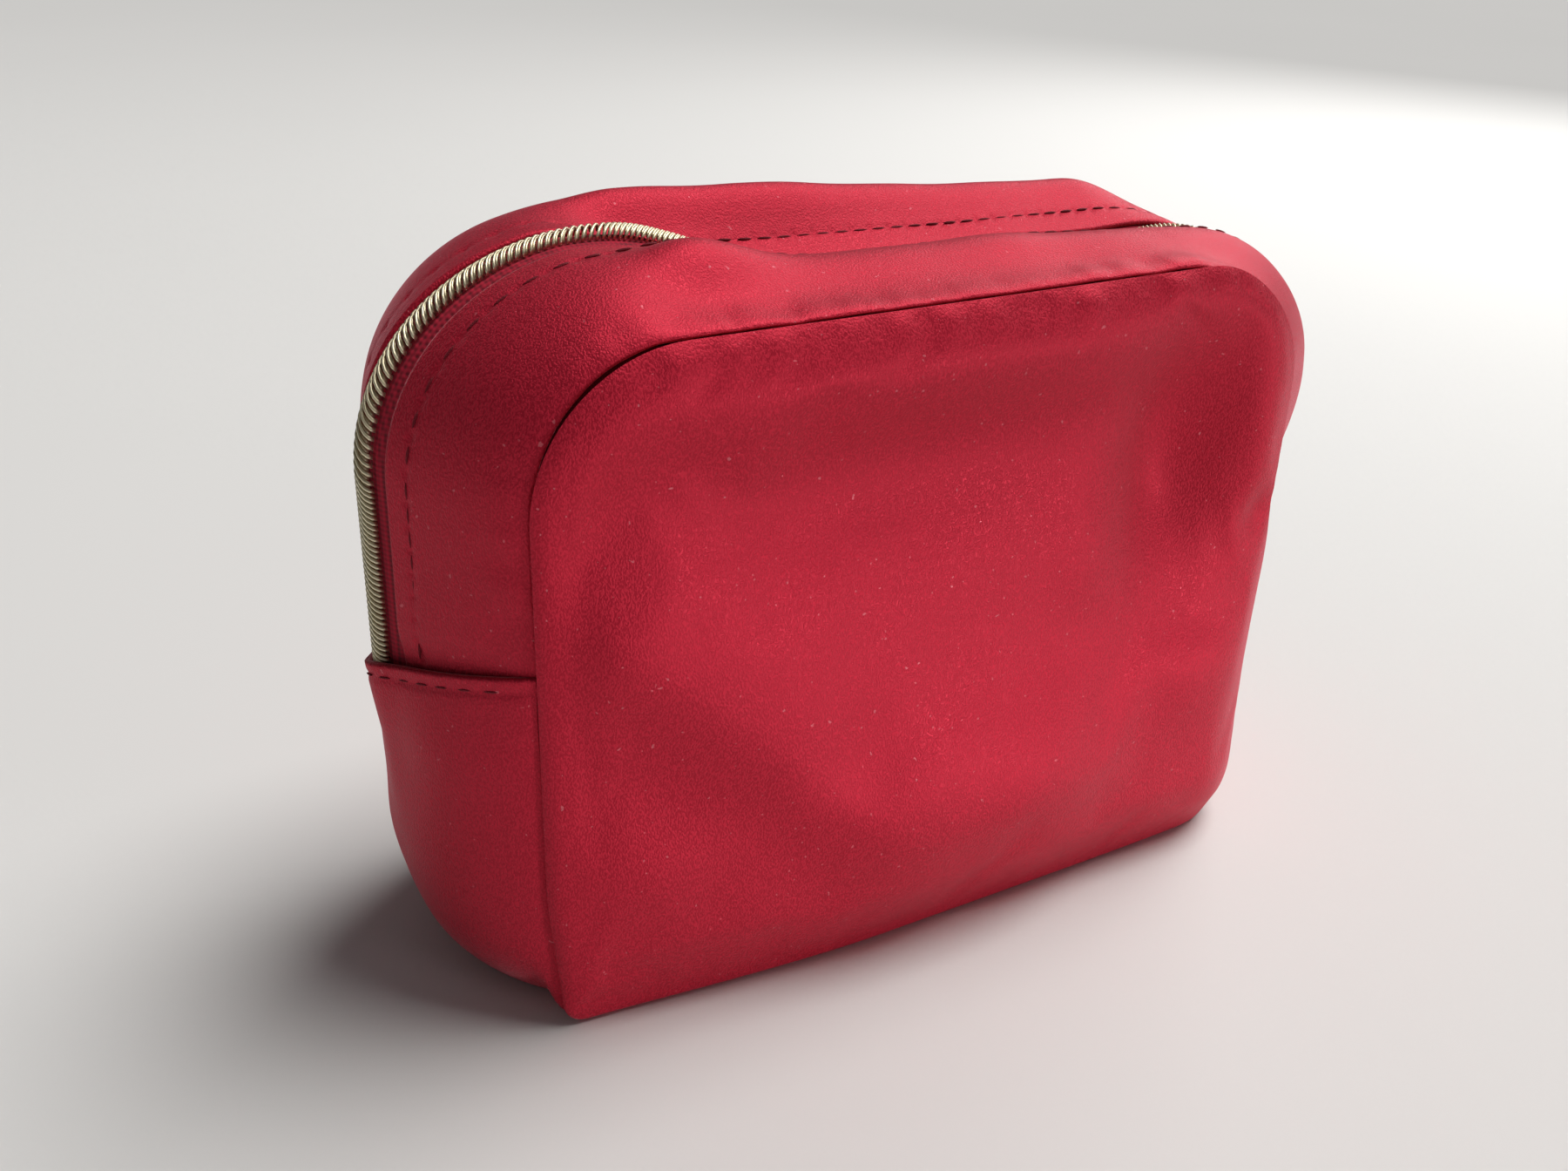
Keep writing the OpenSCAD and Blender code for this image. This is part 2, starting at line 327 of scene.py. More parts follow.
DENTS = [
    # x, z, width, height above, height below, and how far the cloth stands out (or falls in)
    (14, 32, 24, 20, 13, 4.0),
    (-26, 47, 10, 12, 10, -1.0),
    (52, 86, 14, 30, 17, -5.4),
    (60, 45, 17, 9, 13, 1.9),
    (30, 74, 9, 14, 10, 0.8),
    (-66, 33, 12, 10, 10, 1.0),
    (-8, 120, 62, 10, 8, 0.8),
    (-8, 103, 56, 10, 17, -3.6),
    (-50, 8, 40, 14, 12, -0.8),
    (77, 76, 5, 5, 5, -1.8),
    (72, 98, 7, 22, 18, 1.4),
]
DENT_DEPTH = 1.3
FOLD_START, FOLD_END = Vector((-74, 84)), Vector((-10, 26))
FOLD_HEIGHT = 3.6


def diagonal_fold(x, z):
    """A soft fold from the left edge down to the middle of the base, steep below and gentle above."""
    along = (FOLD_END - FOLD_START).normalized()
    away = Vector((x, z)) - FOLD_START
    run, off = away.dot(along), away.dot(Vector((-along.y, along.x)))
    length = (FOLD_END - FOLD_START).length
    ends = smooth(-14, 10, run) * smooth(length + 22, length - 16, run)
    return FOLD_HEIGHT * ends * (hump(off, 0, 30) if off > 0 else hump(off, 0, 13))


def lump(x, z, dent):
    """One of the dents, or a swelling where its height is above 0."""
    at_x, at_z, width, above, below, height = dent
    return height * hump(x, at_x, width) * hump(z, at_z, above if z > at_z else below)


def front_form(x, z):
    return DENT_DEPTH * (diagonal_fold(x, z) + sum(lump(x, z, dent) for dent in DENTS))


def back_form(x, z):
    return 1.8 * wrinkle(x, 0, z, 46, 3.1) + 1.6 * smooth(90, 45, z)


def pucker(x, z, d, side):
    """Short creases that run in from the top seam."""
    across = wrinkle(x, 0, z / 5, 4.6, 9.0 + side)
    reach = mix(4, 13, 0.5 + 0.5 * wrinkle(x, 0, 0, 17, 21.0 + side))
    return 1.3 * across * smooth(0.8, 4, d) * smooth(reach, 0, PANEL_H - z) * smooth(20, 8, PANEL_H - z)


def panel_stand(x, z, side):
    """How far a panel's face stands out from its seam."""
    d = max(inset(x, z), 0.0)
    # The face rolls over from its seam, softly on the right and along the top, sharply at the base
    soft = max(smooth(40, 80, x), 0.8 * smooth(92, 122, z))
    low = smooth(10, 0, z)
    roll = mix(mix(2.5, 4.8, soft), 1.5, low) * (1 - math.exp(-d / mix(mix(1.5, 4.4, soft), 0.4, low)))
    u, v = x / HALF_W, z / PANEL_H
    # The filling sinks, so the face stands out most low down
    crown = 1.6 * (1 - u * u) * math.sin(math.pi * min(1, max(0, v))) ** 0.8
    belly = 6.0 * (1 - u ** 4) * smooth(94, 6, z) * mix(0.25, 1, smooth(1, 18, z)) * smooth(0, 1, z)
    form = front_form(x, z) if side < 0 else back_form(x, z)
    ripple = 0.22 * wrinkle(x, 0, z, 15, 5.0 + side)
    return roll + crown + belly + (form + ripple) * smooth(0, 13, d) + pucker(x, z, d, side)


def panel_point(u, v, side, depth=0.0, shrink=0.0):
    """A point of a panel: u and v run from 0 to 1 across and up, closer together at its edges."""
    across = math.sin(math.pi / 2 * (2 * u - 1))
    low, high = 0.3 + shrink, PANEL_H - SEAM_IN - shrink
    z = low + (high - low) * (1 - math.cos(math.pi * v)) / 2
    wide = half_width(z + SEAM_IN * smooth(40, 100, z), across) - 0.4 * SEAM_IN - shrink
    if side < 0:
        wide -= PANEL_PULL * seam_pull(across * wide, z)
    x = across * max(wide, 0)
    y = seam_y(x, z, side) + side * (panel_stand(x, z, side) - depth)
    return drawn_in(Vector((x, y, z)))


# ---- Making meshes ----


def finish_mesh(bm, name, material):
    """Turns a bmesh into a smooth-shaded piece of one material."""
    mesh = bpy.data.meshes.new(name)
    bm.to_mesh(mesh)
    bm.free()
    obj = bpy.data.objects.new(name, mesh)
    bpy.context.scene.collection.objects.link(obj)
    obj.data.materials.append(material)
    for polygon in mesh.polygons:
        polygon.use_smooth = True
    return obj


def thicken(piece, thickness):
    """Grows a thickness in millimetres inwards, against the normals."""
    solid = piece.modifiers.new("thickness", "SOLIDIFY")
    solid.thickness = thickness * MM
    solid.offset = -1


def grid_piece(name, material, across, along, place, thickness=0.0, flip=False):
    """A sheet of quads; place(u, v) gives the point at u across and v along, each 0 to 1."""
    bm = bmesh.new()
    uv = bm.loops.layers.uv.new("UVMap")
    bmesh.ops.create_grid(bm, x_segments=across, y_segments=along, size=0.5, calc_uvs=True)
    for vertex in bm.verts:
        vertex.co = place(vertex.co.x + 0.5, vertex.co.y + 0.5) * MM
    if flip:
        bmesh.ops.reverse_faces(bm, faces=bm.faces)
    obj = finish_mesh(bm, name, material)
    if thickness:
        thicken(obj, thickness)
    return obj


# ---- Materials ----


class Wire:
    """A shader socket that can stand in a sum."""

    def __init__(self, finish, socket):
        self.finish, self.socket = finish, socket

    def math(self, operation, other):
        settings, inputs = {"operation": operation}, {0: self, 1: other}
        return self.finish.node("ShaderNodeMath", settings, inputs)["Value"]

    def __add__(self, other):
        return self.math("ADD", other)

    def __mul__(self, other):
        return self.math("MULTIPLY", other)

    __radd__ = __add__
    __rmul__ = __mul__


class Outputs:
    """The outputs of a node, by name or number."""

    def __init__(self, finish, node):
        self.finish, self.node = finish, node

    def __getitem__(self, name):
        return Wire(self.finish, self.node.outputs[name])


# The numbers of a colour mix's sockets
MIX_FACTOR, MIX_A, MIX_B, MIX_RESULT = 0, 6, 7, 2
# Bands of the wave texture in one unit of its scale
WAVE_BANDS = 3.2


class Finish:
    """A material under construction, with its Principled shader."""

    def __init__(self, name, **constants):
        self.material = bpy.data.materials.new(name)
        self.material.use_nodes = True
        self.tree = self.material.node_tree
        self.shader = self.tree.nodes["Principled BSDF"]
        for socket, value in constants.items():
            self.shader.inputs[socket.replace("_", " ")].default_value = value
        self.place = self.node("ShaderNodeTexCoord")["Object"]

    def node(self, kind, settings=None, inputs=None):
        node = self.tree.nodes.new(kind)
        for key, value in (settings or {}).items():
            setattr(node, key, value)
        for key, value in (inputs or {}).items():
            self.feed(node.inputs[key], value)
        return Outputs(self, node)

    def feed(self, socket, value):
        if isinstance(value, Wire):
            self.tree.links.new(value.socket, socket)
        else:
            socket.default_value = value

    def set(self, **sockets):
        for socket, value in sockets.items():
            self.feed(self.shader.inputs[socket.replace("_", " ")], value)

    def noise(self, scale, detail=2.0, vector=None):
        inputs = {"Vector": vector or self.place, "Scale": scale, "Detail": detail}
        return self.node("ShaderNodeTexNoise", None, inputs)["Fac"]

    def stretch(self, scale, turn=(0, 0, 0)):
        inputs = {"Vector": self.place, "Scale": scale, "Rotation": turn}
        return self.node("ShaderNodeMapping", None, inputs)["Vector"]

    def threads(self, scale, direction):
        settings = {"wave_type": "BANDS", "bands_direction": direction}
        inputs = {"Vector": self.place, "Scale": scale, "Distortion": 0.6, "Detail": 1.0}
        return self.node("ShaderNodeTexWave", settings, inputs)["Fac"]

    def blend(self, amount, a, b):
        inputs = {MIX_FACTOR: amount, MIX_A: a, MIX_B: b}
        return self.node("ShaderNodeMix", {"data_type": "RGBA"}, inputs)[MIX_RESULT]

    def ramp(self, amount, low, high):
        inputs = {"Value": amount, "From Min": low, "From Max": high}
        return self.node("ShaderNodeMapRange", {"interpolation_type": "SMOOTHSTEP"}, inputs)["Result"]

    def bump(self, height, distance, strength=1.0):
        inputs = {"Height": height, "Distance": distance, "Strength": strength}
        self.set(Normal=self.node("ShaderNodeBump", None, inputs)["Normal"])


def satin_finish(name, deep, bright):
    """Polyester satin: coloured sheen from the floating threads over a fine diagonal grain."""
    f = Finish(name, Metallic=0.42, Sheen_Weight=0.4, Sheen_Roughness=0.35, IOR=1.45,
        Specular_IOR_Level=0.4, Specular_Tint=(1.0, 0.55, 0.6, 1), Sheen_Tint=(1.0, 0.46, 0.52, 1))
    cloudy = f.noise(22, 3)
    grain = f.noise(3000, 2, f.stretch((1.0, 1.0, 0.6), (0, 0.6, 0)))
    sharp = f.ramp(grain, 0.38, 0.66)
    speck = f.ramp(f.noise(900, 1), 0.745, 0.775)
    tone = f.blend(cloudy * 0.35 + sharp * 0.65, deep, bright)
    f.set(Base_Color=f.blend(speck * 0.3, tone, (0.85, 0.34, 0.38, 1)))
    f.set(Roughness=0.42 + cloudy * 0.04 + sharp * 0.12)
    f.bump(sharp, 0.00007, 0.8)
    return f.material


satin = satin_finish("red_satin", (0.36, 0.006, 0.022, 1), (0.60, 0.020, 0.048, 1))


def woven_finish(name, deep, bright, pitch):
    """A plain woven cloth or a twisted thread, its threads about pitch millimetres apart."""
    f = Finish(name, Roughness=0.75, Sheen_Weight=0.15, Sheen_Roughness=0.5,
        Sheen_Tint=(1.0, 0.3, 0.36, 1), Specular_IOR_Level=0.25)
    scale = 1.0 / (pitch * MM) / WAVE_BANDS
    warp, weft = f.threads(scale, "X"), f.threads(scale, "Z")
    depth = f.threads(scale, "Y")
    weave = warp * 0.4 + weft * 0.4 + depth * 0.4
    f.set(Base_Color=f.blend(weave, deep, bright))
    f.set(Roughness=0.65 + weave * 0.2)
    f.bump(weave, 0.00012, 0.8)
    return f.material


tape_cloth = woven_finish("zip_tape_weave", (0.12, 0.002, 0.010, 1), (0.50, 0.014, 0.04, 1), 0.9)
lining_cloth = woven_finish("lining_weave", (0.16, 0.004, 0.012, 1), (0.26, 0.01, 0.022, 1), 0.35)
binding_cloth = woven_finish("binding_weave", (0.14, 0.004, 0.012, 1), (0.24, 0.01, 0.02, 1), 0.5)
# The thread is given a darker red than the satin it matches: painted shade, standing for the shadows in
# the needle holes along each stitch.
thread_with_painted_shade = woven_finish("sewing_thread_painted_shade", (0.10, 0.002, 0.007, 1), (0.22, 0.005, 0.015, 1), 0.3)


def gold_finish(name, pale, warm, rough):
    """Plated metal with faint scratches."""
    f = Finish(name, Metallic=1.0, Roughness=rough)
    cloudy = f.noise(160, 3)
    scratch = f.noise(1400, 2, f.stretch((1.0, 1.0, 6.0)))
    f.set(Base_Color=f.blend(cloudy, pale, warm))
    f.set(Roughness=rough + scratch * 0.14)
    f.bump(scratch, 0.00002, 0.4)
    return f.material


coil_gold = gold_finish("coil_gold", (0.80, 0.74, 0.56, 1), (0.70, 0.60, 0.38, 1), 0.38)
slider_gold = gold_finish("slider_gold", (0.86, 0.76, 0.52, 1), (0.80, 0.66, 0.38, 1), 0.16)

# ---- Panels ----

# How thick the panels' satin is with its padding, the gusset's with its own, and the lining
PAD = 2.8
GUSSET_PAD = 1.2
LINING = 0.4
# How deep the lining lies, how far inside a panel's edge, and the share of the gusset that it covers
STACK = 3.7
LINING_IN = 1.2
LINING_REACH = 0.88


def panel_piece(name, material, side, depth, thickness, shrink, columns, rows):
    return grid_piece(name, material, columns, rows,
        lambda u, v: panel_point(u, v, side, depth, shrink), thickness, flip=side > 0)


SETTLE_FRAMES = 20
SETTLE_MOST = 2.5 * MM
SETTLE_SPARE = 0.002
SETTLE_PRESSURE = 4
GRIP_FROM = 1.5
GRIP_FADE = 2.5
GRIP_LEAST = 0.12


def settle(piece):
    """Lets the cloth settle under a little pressure, held at its seam, with some spare length."""
    held = piece.vertex_groups.new(name="held")
    before = [vertex.co.copy() for vertex in piece.data.vertices]
    for vertex in piece.data.vertices:
        p = vertex.co / MM
        grip = max(GRIP_LEAST, math.exp(-max(inset(p.x, p.z) - GRIP_FROM, 0) / GRIP_FADE))
        held.add([vertex.index], grip, "REPLACE")
    cloth = piece.modifiers.new("cloth", "CLOTH")
    cloth.settings.quality = 5
    cloth.settings.mass = 0.2
    cloth.settings.bending_stiffness = 4
    cloth.settings.shrink_min = -SETTLE_SPARE
    cloth.settings.use_pressure = True
    cloth.settings.uniform_pressure_force = SETTLE_PRESSURE
    cloth.settings.vertex_group_mass = "held"
    cloth.settings.pin_stiffness = 1.0
    cloth.settings.effector_weights.gravity = 0
    cloth.point_cache.frame_start = 1
    cloth.point_cache.frame_end = SETTLE_FRAMES
    scene = bpy.context.scene
    for step in range(1, SETTLE_FRAMES + 1):
        scene.frame_set(step)
        shaped = piece.evaluated_get(bpy.context.evaluated_depsgraph_get()).data
        after = [vertex.co.copy() for vertex in shaped.vertices]
    piece.modifiers.remove(cloth)
    piece.vertex_groups.remove(held)
    scene.frame_set(1)
    for vertex, old, new in zip(piece.data.vertices, before, after):
        move = new - old
        if move.length > SETTLE_MOST:
            move *= SETTLE_MOST / move.length
        vertex.co = old + move


def padded_panel(name, side, columns, rows):
    """A panel's satin with its padding: the face settles as cloth, then gets its thickness."""
    piece = panel_piece(name, satin, side, 0, 0, 0, columns, rows)
    settle(piece)
    smoother = piece.modifiers.new("smoother", "SUBSURF")
    smoother.levels = smoother.render_levels = 1
    thicken(piece, PAD)
    return piece


front_pad = padded_panel("front_padded_panel", -1, 100, 80)
back_pad = padded_panel("back_padded_panel", 1, 90, 72)
front_inside = panel_piece("front_panel_inside", lining_cloth, -1, STACK, LINING, LINING_IN, 60, 48)
back_inside = panel_piece("back_panel_inside", lining_cloth, 1, STACK, LINING, LINING_IN, 60, 48)

# ---- Lower gusset ----

# How far the hem stands proud, all along and over the chain, and the height over which that fades
HEM_PROUD = 0.5
OVER_CHAIN = 1.5
HEM_FADE = 44
# How far below the hem's edge its seam is sewn
HEM_SEAM = 2.6
FULLNESS = 1.0


def lower_station(v, t):
    """A point of the lower gusset's outline, which is rounder between the panels than at them."""
    at, out = lower_at(v * LOWER_L)
    round_point, round_out = round_at(v * ROUND_L)
    between = smooth(1.0, 0.84, abs(t))
    return at.lerp(round_point, between), out.lerp(round_out, between).normalized()


def lower_point(u, v, depth=0.0, reach=1.0):
    """A point of the lower gusset: u runs across and v along, from hem to hem."""
    t = math.sin(math.pi / 2 * (2 * u - 1)) * reach
    at, out = lower_station(v, t)
    from_hem = HEM_Z - at.y
    fade = smooth(45, 0, from_hem)
    over_chain = OVER_CHAIN * hump(t * HALF_D, 0, 4.5)
    lip = (HEM_PROUD + over_chain) * smooth(HEM_FADE, 3, from_hem) * abs(out.x)
    gathered = 0.45 + 0.45 * wrinkle(at.x, t * 30, 0, 2.4, 6.6)
    sewn = gathered * hump(from_hem, HEM_SEAM, 0.8) * abs(out.x)
    crease = 0.35 * wrinkle(at.x, t * 30, at.y, 14, 1.7) * (1 - t * t)
    fuller = FULLNESS * (1 - t ** 4)
    depth += seam_dip(t, v * LOWER_L) + sewn - lip - fuller - crease
    p = gusset_point((at, out), t, depth)
    p.z += hem_drop(t) * fade
    return p


lower_pad = grid_piece("lower_gusset_padded", satin, 60, 420, lower_point, GUSSET_PAD)
lower_inside = grid_piece("lower_gusset_inside", lining_cloth, 24, 120,
    lambda u, v: lower_point(u, v, STACK, LINING_REACH), LINING)

# ---- Zip bands and tapes ----

BAND_T = 0.45
TAPE_T = 0.5
TAPE_DEPTH = 0.75
TAPE_STEP = 0.6
# The radius of a band's turned edge, and how much is turned under
FOLD_R = 0.55
UNDER = 3.0
BAND_LINING_IN = 1.5
BAND_LINING_DEPTH = 2.4
STITCH_PITCH = 4.3


def face(side):
    return "front" if side < 0 else "back"


def upper_point(v, y, side, depth):
    """A point of the top strip at a distance y from its middle line."""
    at, out = upper_at(v * UPPER_L)
    t = side * y / HALF_D
    p = gusset_point((at, out), t, depth)
    low = smooth(25, 0, at.y - HEM_Z)
    p.z += hem_drop(t) * low
    return p


def needle_hole(distance):
    """1 where the needle went in and 0 along a stitch."""
    phase = distance / STITCH_PITCH % 1
    return hump(phase, 0.5, 0.13)


def band_point(u, v, side):
    """A point of a zip band: u runs from the seam to the folded edge and on under it."""
    flat = HALF_D - BAND_EDGE
    roll = math.pi * FOLD_R
    w = (flat + roll + UNDER) * u
    at, out = upper_at(v * UPPER_L)
    if w < flat:
        # The open face, with its needle holes, the dip at the seam and two sizes of wrinkle
        y, from_seam = HALF_D - w, w
        depth = (0.1 + 0.3 * needle_hole(v * UPPER_L)) * hump(y, TOPSTITCH_Y, 0.6)
        depth += seam_dip(side * y / HALF_D, v * UPPER_L)
        depth -= 0.6 * wrinkle(at.x, side * 9, at.y, 6.0, 4.0) * hump(from_seam, 3, 3)
        depth -= 0.6 * wrinkle(at.x, y * side, at.y, 19, 2.0) * smooth(0, 6, from_seam)
    elif w < flat + roll:
        # The turned edge
        turned = (w - flat) / FOLD_R
        y = BAND_EDGE - FOLD_R * math.sin(turned)
        depth = FOLD_R * (1 - math.cos(turned))
    else:
        # What is turned under
        y = BAND_EDGE + (w - flat - roll)
        depth = 2 * FOLD_R
    return upper_point(v, y, side, depth + 0.8 * smooth(8, 0, at.y - HEM_Z))


def tape_depth(y):
    """The tape lies under the band and comes up to the chain."""
    return TAPE_DEPTH + TAPE_STEP * smooth(CHAIN_OUTER, BAND_EDGE, y)


def band_piece(side):
    return grid_piece(f"{face(side)}_satin_band", satin, 60, 600,
        lambda u, v: band_point(u, v, side), BAND_T, flip=side > 0)


def tape_piece(side):
    def place(u, v):
        y = mix(TAPE_OUTER, CHAIN_INNER, u)
        return upper_point(v, y, side, tape_depth(y))

    return grid_piece(f"{face(side)}_woven_tape", tape_cloth, 24, 260, place, TAPE_T, flip=side > 0)


def band_inside(side):
    def place(u, v):
        y = mix(HALF_D - BAND_LINING_IN, BAND_EDGE + BAND_LINING_IN, u)
        return upper_point(v, y, side, BAND_LINING_DEPTH)

    return grid_piece(f"{face(side)}_band_inside", lining_cloth, 12, 160, place, LINING,
        flip=side > 0)


front_band, back_band = band_piece(-1), band_piece(1)
front_tape, back_tape = tape_piece(-1), tape_piece(1)
front_band_in, back_band_in = band_inside(-1), band_inside(1)

# ---- Coils ----


def copies(shape, places, lean=0.0, lift=0.0):
    """Copies of a small shape, each at a point with its ways across, along and out."""
    source = bpy.data.meshes.new("shape")
    shape.to_mesh(source)
    shape.free()
    whole = bmesh.new()
    for p, across, along, out in places:
        first = len(whole.verts)
        whole.from_mesh(source)
        whole.verts.ensure_lookup_table()
        for vertex in whole.verts[first:]:
            c = vertex.co
            vertex.co = p + across * c.x + along * (c.y - lean * c.x) + out * (c.z + lift)
    bmesh.ops.scale(whole, verts=whole.verts, vec=(MM, MM, MM))
    return whole


COIL_PITCH = 1.0
COIL_TUCK = 2
STRAND_R = 0.33
LOOP_RISE = 1.75
LOOP_LEAN = 0.75
LOOP_LIFT = 0.2
# How far a loop reaches past the middle of the chain, into the other coil
LOOP_PAST = 1.9


def one_loop():
    """A coil loop as it shows: a half ring lying across the chain, flattened and leaning."""
    bm = bmesh.new()
    bmesh.ops.create_circle(bm, segments=6, radius=STRAND_R)
    reach = (CHAIN_OUTER + LOOP_PAST) / 2 - STRAND_R
    bmesh.ops.translate(bm, verts=bm.verts, vec=(reach, 0, 0))
    bmesh.ops.spin(bm, geom=bm.edges[:] + bm.verts[:], cent=(0, 0, 0), axis=(0, -1, 0),
        angle=math.pi, steps=7, use_merge=False)
    bmesh.ops.scale(bm, verts=bm.verts, vec=(1, 1, LOOP_RISE / reach))
    bmesh.ops.holes_fill(bm, edges=bm.edges[:], sides=0)
    bmesh.ops.recalc_face_normals(bm, faces=bm.faces)
    return bm


def frame_at(v, side, y, depth):
    """The point at v on the top strip, and the ways across it, along it and out of it."""
    step = 0.4 / UPPER_L
    before, after = (upper_point(v + way * step, y, side, depth) for way in (-1, 1))
    along = (after - before).normalized()
    inner, outer = (upper_point(v, y + way, side, depth) for way in (-0.2, 0.6))
    across = (outer - inner).normalized()
    out = across.cross(along).normalized()
    outward = upper_at(v * UPPER_L)[1]
    if out.dot(Vector((outward.x, 0, outward.y))) < 0:
        out = -out
    return upper_point(v, y, side, depth), across, along, out


def coil_piece(side):
    """One coil: the same loop set down again and again, the front ones between the back ones."""
    start, end = TUCK - COIL_TUCK, UPPER_L - TUCK + COIL_TUCK
    middle = (CHAIN_OUTER - LOOP_PAST) / 2
    places = []
    for i in range(int((end - start) / COIL_PITCH)):
        distance = start + (i + (0.5 if side < 0 else 0.0)) * COIL_PITCH
        places.append(frame_at(distance / UPPER_L, side, middle, TAPE_DEPTH))
    whole = copies(one_loop(), places, side * LOOP_LEAN, LOOP_LIFT)
    bmesh.ops.recalc_face_normals(whole, faces=whole.faces)
    return finish_mesh(whole, f"{face(side)}_coil_loops", coil_gold)


front_coil, back_coil = coil_piece(-1), coil_piece(1)

# ---- Stitches ----

THREAD_R = 0.26
TOPSTITCH_L = 3.2
TOPSTITCH_DEPTH = 0.1
HEM_STITCH_L = 3.0
HEM_STITCH_DEPTH = -0.05
HEM_STITCHES = 13
# The share of the gusset's width that a row of hem stitches spans
HEM_SPAN = 0.88


def row_of_stitches(name, places, length):
    """Stitches at places, each a point and its ways along and out.

    A stitch is fat in the middle, and its ends dive into the cloth."""
    stitch = bmesh.new()
    bmesh.ops.create_uvsphere(stitch, u_segments=6, v_segments=5, radius=1)
    bmesh.ops.scale(stitch, verts=stitch.verts, vec=(THREAD_R, length / 2, THREAD_R))
    turned = [(p, along.cross(out).normalized(), along, out) for p, along, out in places]
    # The stitches' thread carries painted shade: it is darker than the satin to stand for the shadows
    # at the needle holes.
    return finish_mesh(copies(stitch, turned), name, thread_with_painted_shade)


def topstitch_row(side):
    places = []
    for i in range(int((UPPER_L - 2 * TUCK) / STITCH_PITCH)):
        v = (TUCK // STITCH_PITCH + 1 + i) * STITCH_PITCH / UPPER_L
        p, _, along, out = frame_at(v, side, TOPSTITCH_Y, TOPSTITCH_DEPTH)
        places.append((p, along, out))
    return row_of_stitches(f"{face(side)}_topstitches", places, TOPSTITCH_L)


def hem_row(side):
    places = []
    hem_v = HEM_SEAM / LOWER_L if side < 0 else 1 - HEM_SEAM / LOWER_L
    for i in range(HEM_STITCHES):
        across = (1 - HEM_SPAN) / 2 + HEM_SPAN * (i + 0.5) / HEM_STITCHES
        u = math.asin(2 * across - 1) / math.pi + 0.5
        before, after = (lower_point(u + step, hem_v) for step in (-0.01, 0.01))
        along = (after - before).normalized()
        places.append((lower_point(u, hem_v, HEM_STITCH_DEPTH), along, Vector((side, 0, 0))))
    name = "left" if side < 0 else "right"
    return row_of_stitches(f"{name}_hem_stitches", places, HEM_STITCH_L)


front_stitches, back_stitches = topstitch_row(-1), topstitch_row(1)
left_hem_stitches, right_hem_stitches = hem_row(-1), hem_row(1)

# ---- Seam bindings, inside ----

BINDING_W = 5.0
BINDING_T = 0.3
BINDING_CLEAR = 0.5
BINDING_FOLD = 0.45
BINDING_L = UPPER_L - 2 * TUCK + LOWER_L
BINDING_CUT = 2 * BINDING_W + math.pi * BINDING_FOLD


def binding_piece(side):
    """The tape folded over the raw seam, standing inwards along the whole seam line."""

    def place(u, v):
        d = v * BINDING_L
        at, out = lower_at(d) if d < LOWER_L else upper_at(d - LOWER_L + TUCK)
        w = u * BINDING_CUT
        turned = min(max((w - BINDING_W) / BINDING_FOLD, 0), math.pi)
        reach = min(w, BINDING_W, BINDING_CUT - w) + BINDING_FOLD * math.sin(turned)
        depth = STACK + BINDING_CLEAR + BINDING_FOLD * (1 - math.cos(turned))
        y = seam_y(at.x, at.y, side) - side * (STACK + reach)
        return Vector((at.x - out.x * depth, y, at.y - out.y * depth))

    return grid_piece(f"{face(side)}_seam_binding", binding_cloth, 12, 260, place, BINDING_T,
        flip=side < 0)


front_bind, back_bind = binding_piece(-1), binding_piece(1)

# ---- Slider and puller ----


def solid_box(bm, low, high):
    """Adds a box between two corners."""
    made = bmesh.ops.create_cube(bm, size=1)["verts"]
    bmesh.ops.scale(bm, verts=made, vec=tuple(high - low))
    bmesh.ops.translate(bm, verts=made, vec=tuple((low + high) / 2))


WALL = 1.1
FLANGE = 2.2
POST_HALF = 0.35
POST_L = 2.2
MOUTH_TAPER = 0.82
EDGE_ROUND = 0.35


def slider_shell():
    """Two tapered plates with flanges, joined by the post between the tapes."""
    bm = bmesh.new()
    mid = (slider_low + slider_high) / 2
    outer_low = Vector((slider_high.x - WALL, slider_low.y, slider_low.z))
    inner_high = Vector((slider_low.x + WALL, slider_high.y, slider_high.z))
    solid_box(bm, outer_low, slider_high)
    solid_box(bm, slider_low, inner_high)
    for side in (-1, 1):
        low_y = slider_low.y if side < 0 else slider_high.y - WALL
        solid_box(bm, Vector((slider_high.x - WALL - FLANGE, low_y, slider_low.z)),
            Vector((slider_high.x - WALL / 2, low_y + WALL, slider_high.z)))
    solid_box(bm, Vector((slider_low.x + WALL / 2, -POST_HALF, slider_high.z - POST_L)),
        Vector((slider_high.x - WALL / 2, POST_HALF, slider_high.z)))
    for vertex in bm.verts:
        if vertex.co.z < mid.z:
            vertex.co.y *= MOUTH_TAPER
    bmesh.ops.bevel(bm, geom=bm.edges[:], offset=EDGE_ROUND, affect="EDGES", segments=3,
        profile=0.5, material=-1, clamp_overlap=True)
    bmesh.ops.scale(bm, verts=bm.verts, vec=(MM, MM, MM))
    return finish_mesh(bm, "slider_shell", slider_gold)


ARCH_R = 0.42
ARCH_WIDTH = 2.2


